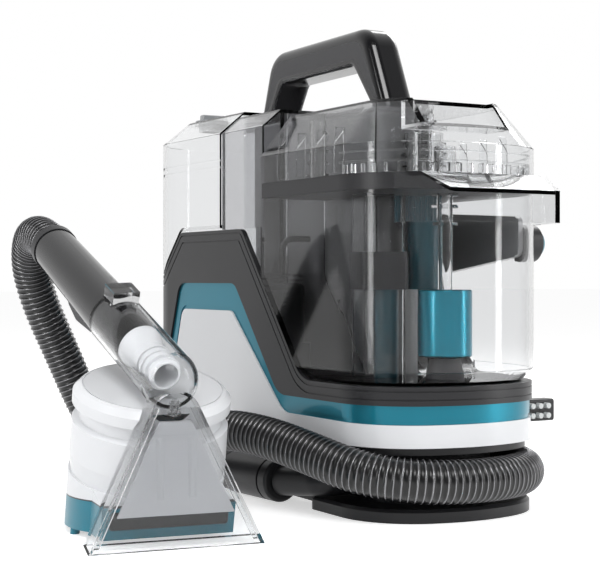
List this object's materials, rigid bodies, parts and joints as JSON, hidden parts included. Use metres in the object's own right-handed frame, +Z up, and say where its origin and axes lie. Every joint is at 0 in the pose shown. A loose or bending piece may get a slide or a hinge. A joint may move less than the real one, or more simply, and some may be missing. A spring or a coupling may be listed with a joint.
{
  "type": "carpet cleaner machine",
  "caption": "Portable spot carpet cleaner with clear water tanks, wrapped suction hose and air-driven brush tool.",
  "frame": {"origin": "centre of the foot plate's underside, on the floor", "axes": "+Z up, -Y towards the front (dirty tank) and -X towards the machine's left, where the tool stands"},
  "size_m": [0.3752, 0.4186, 0.344],
  "materials": {
    "dark_plastic": "satin",
    "black_gloss": "gloss",
    "grey_plastic": "matte",
    "white_plastic": "gloss",
    "teal_plastic": "metallic gloss",
    "dark_teal": "gloss",
    "clear_plastic": "clear",
    "smoky_plastic": "smoky",
    "mid_grey_plastic": "satin",
    "pale_plastic": "satin",
    "hose_plastic": "satin",
    "pad_rubber": "matte",
    "motor_steel": "brushed",
    "board": "matte",
    "bristle": "matte",
    "dark_bristle": "matte"
  },
  "bodies": {
    "machine": {"foot_plate": "dark_plastic", "foot_pads": "pad_rubber", "base_core": "dark_plastic", "lower_shell": "white_plastic", "teal_band": "teal_plastic", "side_frame": "dark_plastic", "deck": "dark_plastic", "spine_housing": "mid_grey_plastic", "tower_cover_left": "smoky_plastic", "tower_cover_right": "smoky_plastic", "carry_handle": "black_gloss", "handle_inlays": "grey_plastic", "tank_shelf": "dark_plastic", "fan_case": "dark_plastic", "fan_motor": "motor_steel", "exhaust_grille": "dark_plastic", "solution_pump": "dark_plastic", "pump_tube": "hose_plastic", "circuit_board": "board", "mains_inlet": "hose_plastic", "side_arm": "mid_grey_plastic", "brush_holder": "dark_plastic", "hose_port": "dark_plastic", "machine_cuff": "dark_plastic", "hose": "hose_plastic", "tool_neck": "clear_plastic", "tool_nozzle": "clear_plastic", "nozzle_plate": "pale_plastic", "turbine_housing": "white_plastic", "turbine_cover": "white_plastic", "brush_skirt": "teal_plastic", "brush_window": "dark_plastic", "suction_tube": "white_plastic", "grip_left": "black_gloss", "grip_right": "black_gloss", "tool_cuff": "dark_plastic"},
    "clean_tank": {"clean_tank": "clear_plastic", "tank_valve": "grey_plastic"},
    "filler_cap": {"filler_cap": "black_gloss"},
    "dirty_tank": {"dirty_tank": "clear_plastic", "separator_plate": "dark_plastic", "inlet_duct": "clear_plastic", "duct_collar": "dark_plastic", "duct_sleeve": "dark_teal", "air_riser": "dark_teal", "float_guide": "clear_plastic", "float_seat": "grey_plastic"},
    "tank_lid": {"tank_lid": "clear_plastic"},
    "float": {"shutoff_float": "teal_plastic"},
    "fan": {"fan_impeller": "grey_plastic"},
    "turbine": {"turbine_rotor": "teal_plastic"},
    "brush_roll": {"brush_roll": "grey_plastic", "roll_bristles": "dark_bristle"},
    "trigger": {"spray_trigger": "grey_plastic"},
    "latch": {"neck_latch": "clear_plastic"},
    "button": {"power_button": "grey_plastic"},
    "knob": {"arm_knob": "dark_plastic", "knob_cap": "teal_plastic"},
    "spare_brush": {"spare_brush": "dark_plastic", "spare_bristles": "bristle"}
  },
  "joints": [
    {"name": "clean_tank_lift", "type": "slide", "parent": "machine", "child": "clean_tank", "axis": [0, 0, 1], "range_m": [0, 0.15]},
    {"name": "filler_cap_turn", "type": "hinge", "parent": "clean_tank", "child": "filler_cap", "pos_m": [-0.036, 0.142, 0.29], "axis": [0, 0, 1], "range_deg": [0, 90]},
    {"name": "dirty_tank_lift", "type": "slide", "parent": "machine", "child": "dirty_tank", "axis": [0, 0, 1], "range_m": [0, 0.15]},
    {"name": "lid_lift", "type": "slide", "parent": "dirty_tank", "child": "tank_lid", "axis": [0, 0, 1], "range_m": [0, 0.1]},
    {"name": "float_rise", "type": "slide", "parent": "dirty_tank", "child": "float", "axis": [0, 0, 1], "range_m": [0, 0.04]},
    {"name": "fan_spin", "type": "hinge", "parent": "machine", "child": "fan", "pos_m": [0, 0.144, 0.1], "axis": [0, 0, 1], "continuous": true},
    {"name": "turbine_spin", "type": "hinge", "parent": "machine", "child": "turbine", "pos_m": [-0.20296, -0.10426, 0.02205], "axis": [-0.036, -0.2733, 0.9613], "continuous": true},
    {"name": "brush_roll_spin", "type": "hinge", "parent": "machine", "child": "brush_roll", "pos_m": [-0.20726, -0.13689, 0.0135], "axis": [0.9914, -0.1305, 0], "continuous": true},
    {"name": "spray_trigger_pull", "type": "hinge", "parent": "machine", "child": "trigger", "pos_m": [-0.21179, -0.05011, 0.13122], "axis": [0.9993, 0.0034, 0.0384], "range_deg": [0, 6], "stiffness_Nm_per_rad": 0.5},
    {"name": "neck_latch_press", "type": "slide", "parent": "machine", "child": "latch", "axis": [0.034, 0.3885, -0.9208], "range_m": [0, 0.002], "stiffness_N_per_m": 600},
    {"name": "power_button_press", "type": "slide", "parent": "machine", "child": "button", "axis": [0, 0, -1], "range_m": [0, 0.002], "stiffness_N_per_m": 600},
    {"name": "arm_knob_turn", "type": "hinge", "parent": "machine", "child": "knob", "pos_m": [0.083, -0.126, 0.185], "axis": [1, 0, 0], "range_deg": [0, 90]},
    {"name": "spare_brush_pull", "type": "slide", "parent": "machine", "child": "spare_brush", "axis": [1, 0, 0], "range_m": [0, 0.03]}
  ],
  "couplings": [
    {"joint": "brush_roll_spin", "follows": "turbine_spin", "ratio": 0.25}
  ]
}
